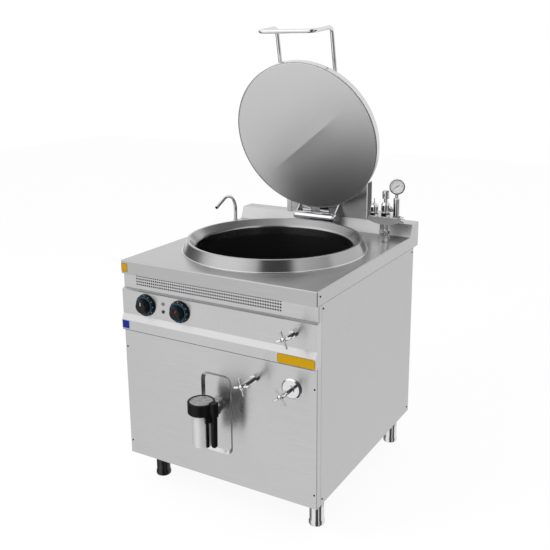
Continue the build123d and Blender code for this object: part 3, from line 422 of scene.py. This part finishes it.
print("knob marks")
knobLook = {"ringRadius": 31.0, "ringWire": 1.9, "tickRadius": 35.0, "tickLength": 3.6,
            "tickWidth": 1.3, "tickThick": 1.0, "ticks": 11, "sweep": 300, "skirtFront": 11.0,
            "capRadius": 25.2, "capFront": 33.0, "flutes": 30, "pointer": (5, 18),
            "pointerWidth": 2.0, "pointerThick": 0.7}


def dressKnob(node, body, pointerInk, turned):
    low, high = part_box(node)
    x, z = (low.x + high.x) / 2, (low.z + high.z) / 2
    panel = worktopLow.y
    faceY = panel - knobLook["skirtFront"] * mm
    centre = np.array([x, faceY, z])
    surface(body + "_blueRing", hoop(centre, (0, -1, 0), knobLook["ringRadius"],
            knobLook["ringWire"]), finishes["blueInk"], body, True, True)
    for tick in range(knobLook["ticks"]):
        way = radians(turned + knobLook["sweep"] * tick / (knobLook["ticks"] - 1))
        out = np.array([sin(way), 0, cos(way)])
        reach = knobLook["tickRadius"] - (1 if tick % 5 == 0 else 0)
        start = centre + out * reach * mm + np.array([0, 1.1 * mm, 0])
        end = start + out * knobLook["tickLength"] * mm
        surface(f"{body}_tick{tick}", bar(start, end, (out[2], 0, -out[0]),
                knobLook["tickWidth"], knobLook["tickThick"]), finishes["whiteInk"], body,
                False, True)
    # the cap's fluted grip: radius swells and sinks round the cap, and shrinks to the front
    angle = np.linspace(0, 2 * pi, 240, endpoint=False)[None, :]
    depth = np.linspace(0, 1, 12)[:, None]
    swell = 0.5 * np.abs(np.cos(angle * knobLook["flutes"] / 2)) ** 0.7
    radius = (knobLook["capRadius"] - 1.9 * depth + swell * (1 - depth ** 8)) * mm
    front = knobLook["skirtFront"] + 1.6 + (knobLook["capFront"] - 5.2
                                            - knobLook["skirtFront"]) * depth
    grid = np.stack([x + radius * np.cos(angle), panel - front * mm + 0 * angle,
                     z + radius * np.sin(angle)], -1)
    surface(body + "_grip", grid[::-1], finishes["blackKnob"], body, False, True)
    way = radians(turned + knobLook["sweep"] / 2)
    out = np.array([sin(way), 0, cos(way)])
    top = np.array([x, panel - (knobLook["capFront"] + 0.1) * mm, z])
    near, far = knobLook["pointer"]
    surface(body + "_pointer", bar(top + out * near * mm, top + out * far * mm,
            (out[2], 0, -out[0]), knobLook["pointerWidth"], knobLook["pointerThick"]), pointerInk,
            body, False, True)


dressKnob("thermostat_knob", "thermostat_dial", finishes["whiteInk"], -150)
dressKnob("selector_knob", "selector_dial", finishes["redInk"], -120)

print("vent shade sheet")
# a flat black sheet close behind the vent holes, painted shade that makes the holes dark: x across,
# z up, one plane
ventShadeLook = {"back": 15.0, "halfWidth": 385.0, "low": -101.0, "high": -56.0}
across, rise = np.meshgrid(np.linspace(-1, 1, 9), np.linspace(0, 1, 3))
ventShadeAt = [place(ventShadeLook["halfWidth"] * x, ventShadeLook["back"],
                  ventShadeLook["low"] + (ventShadeLook["high"] - ventShadeLook["low"]) * z)
            for x, z in zip(across.ravel(), rise.ravel())]
surface("ventShadeSheet", np.array(ventShadeAt).reshape(3, 9, 3), finishes["black"], "cabinet")

print("labels")
labelLook = {"thick": 0.5}
labels = {  # low x, high x, low up, high up, back of its face, colour, border
    "sideNote": (-399, -371, -43, -11, 0.0, (0.60, 0.335, 0.002), (0.20, 0.12, 0.01)),
    "stripNote": (258, 398, -258.5, -225, -10.0, (0.66, 0.37, 0.002), (0.30, 0.16, 0.004)),
    "cornerNote": (-399, -366, -256, -224, -10.0, (0.012, 0.025, 0.28), (0.25, 0.28, 0.55)),
}


def label(name, x0, x1, up0, up1, back, colour, border):
    # rings of a rounded rectangle, from the middle of the face out and back to the panel
    side, rise = squircle(64, 0.16)
    share = np.array([0.0, 0.5, 0.985, 1.0, 1.0, 0.0])[:, None]
    front = np.array([labelLook["thick"]] * 3 + [labelLook["thick"] * 0.6, 0, 0])[:, None]
    x = (x0 + x1) / 2 + share * side * (x1 - x0) / 2
    up = (up0 + up1) / 2 + share * rise * (up1 - up0) / 2
    zero = place(0, back, 0)
    grid = np.stack([x * mm, zero[1] - front * mm + 0 * x, zero[2] + up * mm], -1)
    low, high = place(x0, back, up0), place(x1, back, up1)
    tint = paper(name, colour, border, (low[0], low[2], high[0], high[2]))
    surface(name, grid, tint, "cabinet", False, True, False)


for name, facts in labels.items():
    label(name, *facts)

lidPanelLook = {"radius": 306.4, "face": 30.0, "proud": 0.3, "belly": 5.0, "fold": 2.8,
                "foldWidth": 34.0, "foldAt": (3.0, 441.0), "foldWay": (0.789, -0.614),
                "foldReach": 190.0}


def lidPanel():
    # rings from the rim to the middle of the lid's underside, in places of the closed lid: it
    # bulges down as 1 - share squared, and a ridge that fades out stands along a slanting line
    share = np.concatenate([[0], np.linspace(1, 0.02, 60), [0]])[:, None]
    angle = np.linspace(0, 2 * pi, 192, endpoint=False)[None, :]
    look = lidPanelLook
    x = look["radius"] * share * np.cos(angle)
    back = kettleBack + look["radius"] * share * np.sin(angle)
    way = look["foldWay"]
    along = (x - look["foldAt"][0]) * way[0] + (back - look["foldAt"][1]) * way[1]
    aside = (x - look["foldAt"][0]) * way[1] - (back - look["foldAt"][1]) * way[0]
    fade = np.abs(aside) / look["foldWidth"] + (along / look["foldReach"]) ** 4
    ridge = look["fold"] * np.exp(-fade)
    bulge = (look["belly"] + ridge) * (1 - share ** 2)
    bulge[0] = 0  # the flat back that closes it
    down = look["face"] - look["proud"] - bulge
    zero = place(0, 0, 0)
    return swung(np.stack([x * mm, zero[1] + back * mm, zero[2] + down * mm], -1))


print("collar bead, lid hem and weld marks")
beadLook = {"up": 0.8, "ring": 350.6, "wire": 2.2}
surface("collarBead", hoop(place(0, kettleBack, beadLook["up"]), (0, 0, 1), beadLook["ring"],
        beadLook["wire"], 256), finishes["plated"], "cabinet", True, True)
surface("lidPanel", lidPanel(), finishes["lidFace"], "lid", False, True)
hemLook = {"up": 30.4, "ring": 307.0, "wire": 0.9}
lidAxis = swung([place(0, kettleBack, 1)])[0] - swung([place(0, kettleBack, 0)])[0]
surface("lidHem", hoop(swung([place(0, kettleBack, hemLook["up"])])[0], lidAxis, hemLook["ring"],
        hemLook["wire"], 256), finishes["satin"], "lid", True, True)
weldLook = {"side": 400, "radius": 2.6, "flat": 1.2, "rise": 0.15}
weldPlaces = ((160, -115), (160, -176), (455, -130), (420, -235), (95, -205), (330, -270))
for number, (back, up) in enumerate(weldPlaces):
    dome = [(0, weldLook["rise"]), (weldLook["flat"], weldLook["rise"]), (weldLook["radius"], 0),
            (0, 0)]
    mark = spun(place(weldLook["side"], back, up), (1, 0, 0), dome, 24)
    surface(f"weldMark{number}", mark, finishes["satin"], "cabinet", False, True)

print("lip shade strip")
# a thin black strip under the lip of the control panel, straight across: painted shade for the
# shadow line under the lip
lipShadeLook = {"back": -7.6, "up": -260.6, "half": 399.0, "deep": 4.0, "high": 2.2}
surface("lipShadeStrip", bar(place(-lipShadeLook["half"], lipShadeLook["back"], lipShadeLook["up"]),
        place(lipShadeLook["half"], lipShadeLook["back"], lipShadeLook["up"]), (0, 1, 0), lipShadeLook["deep"],
        lipShadeLook["high"]), finishes["blackSheet"], "cabinet", False, True)

print("housing side black")
housingLow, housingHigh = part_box("rear_housing")
housingSideLook = {"inset": 9.0, "thick": 0.4, "foot": 45.0}


def flatCover(x, backs, ups, thick):
    # rings of a rounded rectangle on a side wall, from its middle out and back to the wall
    side, rise = squircle(48, 0.12)
    share = np.array([0.0005, 0.5, 0.99, 1.0, 1.0])[:, None]
    out = np.array([thick] * 3 + [thick * 0.6, 0])[:, None] * mm
    back = (backs[0] + backs[1]) / 2 + share * side * (backs[1] - backs[0]) / 2
    up = (ups[0] + ups[1]) / 2 + share * rise * (ups[1] - ups[0]) / 2
    return np.stack([x + out + 0 * back, back, up], -1)


inset = housingSideLook["inset"] * mm
housingSideBacks = (housingLow.y + inset, housingHigh.y - inset / 3)
housingSideUps = (worktopHigh.z + housingSideLook["foot"] * mm, housingHigh.z - inset / 3)
# a thin black sheet over the housing's right side, which makes that side dark
surface("housingSideBlack", flatCover(housingHigh.x, housingSideBacks, housingSideUps, housingSideLook["thick"]),
        finishes["blackSheet"], "cabinet", False, True, False)

print("gauge face")
gaugeLook = {"ticks": 31, "outer": 23.5, "short": 1.8, "long": 3.6, "tickWidth": 0.6,
             "tickThick": 0.2, "numbers": 6, "numberReach": 16.2, "numberSize": 5.2,
             "numberThick": 0.05, "start": -135, "sweep": 270, "front": 0.85}
dialLow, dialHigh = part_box("gauge_dial")
needleAxle = jointNamed("needle_swing")
gaugeOut = -np.array(needleAxle["axis"])  # the way that the gauge faces
gaugeAcross = np.array([-gaugeOut[1], gaugeOut[0], 0])
dialCentre = np.array((dialLow + dialHigh) / 2) + gaugeOut * gaugeLook["front"] * mm
for tick in range(gaugeLook["ticks"]):
    way = radians(gaugeLook["start"] + gaugeLook["sweep"] * tick / (gaugeLook["ticks"] - 1))
    out = gaugeAcross * sin(way) + np.array([0, 0, cos(way)])
    length = gaugeLook["long"] if tick % 5 == 0 else gaugeLook["short"]
    start = dialCentre + out * (gaugeLook["outer"] - length) * mm
    surface(f"gaugeTick{tick}", bar(start, dialCentre + out * gaugeLook["outer"] * mm,
            gaugeAcross * cos(way) - np.array([0, 0, sin(way)]), gaugeLook["tickWidth"],
            gaugeLook["tickThick"]), finishes["ink"], "cabinet", False, True)
for number in range(gaugeLook["numbers"] + 1):
    way = radians(gaugeLook["start"] + gaugeLook["sweep"] * number / gaugeLook["numbers"])
    words = bpy.data.curves.new(f"figure{number}", "FONT")
    words.body = str(number)
    words.size, words.extrude = gaugeLook["numberSize"] * mm, gaugeLook["numberThick"] * mm
    words.align_x, words.align_y = "CENTER", "CENTER"
    written = bpy.data.objects.new("drafting", words)
    bpy.context.scene.collection.objects.link(written)
    bpy.context.view_layer.update()
    mesh = bpy.data.meshes.new_from_object(written)
    bpy.data.objects.remove(written)
    out = gaugeAcross * sin(way) + np.array([0, 0, cos(way)])
    spotAt = dialCentre + out * gaugeLook["numberReach"] * mm
    stand = Matrix([[gaugeAcross[i], (0, 0, 1)[i], gaugeOut[i], spotAt[i]] for i in range(3)]
                   + [[0, 0, 0, 1]])
    mesh.transform(stand)
    mesh.materials.clear()
    mesh.materials.append(finishes["ink"])
    figure = bpy.data.objects.new(f"gaugeFigure{number}", mesh)
    bpy.context.scene.collection.objects.link(figure)
    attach(figure, "cabinet")

print("tap details")
tapLook = {"reach": -83, "top": -426.5, "rings": ((35.0, 0.9), (14.0, 0.7))}
discAt = place(0, tapLook["reach"], tapLook["top"])
for radius, wire in tapLook["rings"]:
    surface(f"tapDiscRing{radius:.0f}", hoop(discAt, (0, 0, 1), radius, wire, 72),
            finishes["disc"], "tap_handle", True, True)

print("studio")
studio = {"floorTone": 0.93, "floorSize": 9.0, "floorGlow": 1.05, "ambient": 0.62,
          "shadowShare": 0.14}
floorMesh = bpy.data.meshes.new("floor")
half = studio["floorSize"]
floorMesh.from_pydata([(-half, -half, 0), (half, -half, 0), (half, half, 0), (-half, half, 0)],
                      [], [(0, 1, 2, 3)])
floor = bpy.data.objects.new("floor", floorMesh)
bpy.context.scene.collection.objects.link(floor)
floorPaint, paint = material("floor paint")
pathKind = [paint.node("LightPath", output=kind) for kind in ("Is Camera Ray", "Is Glossy Ray",
                                                                "Is Transmission Ray")]
seen = (pathKind[0] + pathKind[1] + pathKind[2]) * (1 - studio["shadowShare"])
matt = paint.node("BsdfDiffuse", sockets={"Color": colour4(grey(studio["floorTone"]))})
glow = paint.node("Emission", sockets={"Color": colour4(grey(1.0)),
                                       "Strength": studio["floorGlow"]})
paint.node("OutputMaterial", sockets={"Surface": paint.node("MixShader", sockets={
    0: seen, 1: matt, 2: glow})})
floorMesh.materials.append(floorPaint)
floor.visible_glossy = False  # metal mirrors the room below the horizon as well

# the room that metal mirrors: pale, with a window, a darker gap overhead and dark walls by bearing
world = bpy.data.worlds.new("studio room")
bpy.context.scene.world = world
world.use_nodes = True
room = Finish(world.node_tree)
windows = {  # direction, where it starts and is full (cosines), how much lighter or darker
    "skylight": ((-0.50, -0.66, 0.56), 0.78, 0.97, 0.45),
    "ceilingGap": ((0.30, -0.20, 0.93), 0.93, 0.985, -0.45),
}
walls = {  # bearing in degrees, half width at its edge and where it is full, foot, top, darkness
    "behindCamera": (-58, 27, 16, 0.60, 0.86, 0.93),
    "right": (-6, 24, 15, 0.20, 0.45, 0.90),
    "left": (176, 28, 15, 0.10, 0.35, 0.85),
    "rear": (92, 14, 7, 0.15, 0.40, 0.45),
    "leftFront": (-152, 11, 6, 0.05, 0.20, 0.65),
}
way = room.node("TexCoord", output="Generated")
height = room.node("SeparateXYZ", sockets={0: way}, output=2)
level = room.node("VectorMath", {"operation": "MULTIPLY"}, {0: way, 1: (1, 1, 0)})
level = room.node("VectorMath", {"operation": "NORMALIZE"}, {0: level})
light = 1.0
for direction, edge, core, change in windows.values():
    aim = np.array(direction) / np.linalg.norm(direction)
    facing = room.node("VectorMath", {"operation": "DOT_PRODUCT"}, {0: way, 1: tuple(aim)}, "Value")
    light = light + room.rise(facing, edge, core) * change
for bearing, edge, core, foot, top, darkness in walls.values():
    aim = (cos(radians(bearing)), sin(radians(bearing)), 0)
    facing = room.node("VectorMath", {"operation": "DOT_PRODUCT"}, {0: level, 1: aim}, "Value")
    wall = room.rise(facing, cos(radians(edge)), cos(radians(core)))
    light = light * (1 - wall * (1 - room.rise(height, foot, top)) * darkness)
isCamera = room.node("LightPath", output="Is Camera Ray")
isGlossy = room.node("LightPath", output="Is Glossy Ray")
isThrough = room.node("LightPath", output="Is Transmission Ray")
level = isCamera + (isGlossy + isThrough) * light
level = level + (1 - isCamera - isGlossy - isThrough) * studio["ambient"]
glowing = room.node("Background", sockets={"Color": (1, 1, 1, 1), "Strength": level})
room.node("OutputWorld", sockets={"Surface": glowing})

lamps = {  # place in metres, aim, size, power
    "keyLamp": ((-2.2, -3.0, 3.4), (0, 0, 0.8), 2.4, 60),
    "fillLamp": ((3.2, -1.8, 2.4), (0, 0, 0.7), 2.4, 25),
}
for name, (spotAt, aim, size, power) in lamps.items():
    lamp = bpy.data.lights.new(name, "AREA")
    lamp.size, lamp.energy = size, power
    holder = bpy.data.objects.new(name, lamp)
    holder.location = spotAt
    toward = Matrix.Translation(spotAt).to_translation() - Matrix.Translation(aim).to_translation()
    holder.rotation_euler = toward.to_track_quat("Z", "Y").to_euler()
    holder.visible_glossy = False  # metal mirrors the room, not the lamps
    bpy.context.scene.collection.objects.link(holder)

print("camera")
cameraLook = {"place": (1454, -2064.7, 746.3), "azimuth": 30.29, "elevation": 13.63,
              "roll": -0.47, "lens": 50.92, "sensor": 36.0, "shiftY": -0.0727}
azimuth, elevation, roll = (radians(cameraLook[name]) for name in ("azimuth", "elevation", "roll"))
forward = np.array([-sin(azimuth) * cos(elevation), cos(azimuth) * cos(elevation), -sin(elevation)])
right = np.array([cos(azimuth), sin(azimuth), 0])
upward = np.cross(right, forward)
right, upward = (cos(roll) * right + sin(roll) * upward, cos(roll) * upward - sin(roll) * right)
shot = bpy.data.cameras.new("camera")
shot.lens, shot.sensor_width, shot.shift_y = (cameraLook[name] for name in ("lens", "sensor",
                                                                           "shiftY"))
camera = bpy.data.objects.new("camera", shot)
stand = place(*cameraLook["place"])
camera.matrix_world = Matrix([[right[i], upward[i], -forward[i], stand[i]] for i in range(3)]
                              + [[0, 0, 0, 1]])
bpy.context.scene.collection.objects.link(camera)
bpy.context.scene.camera = camera
bpy.context.scene.view_settings.view_transform = "Standard"
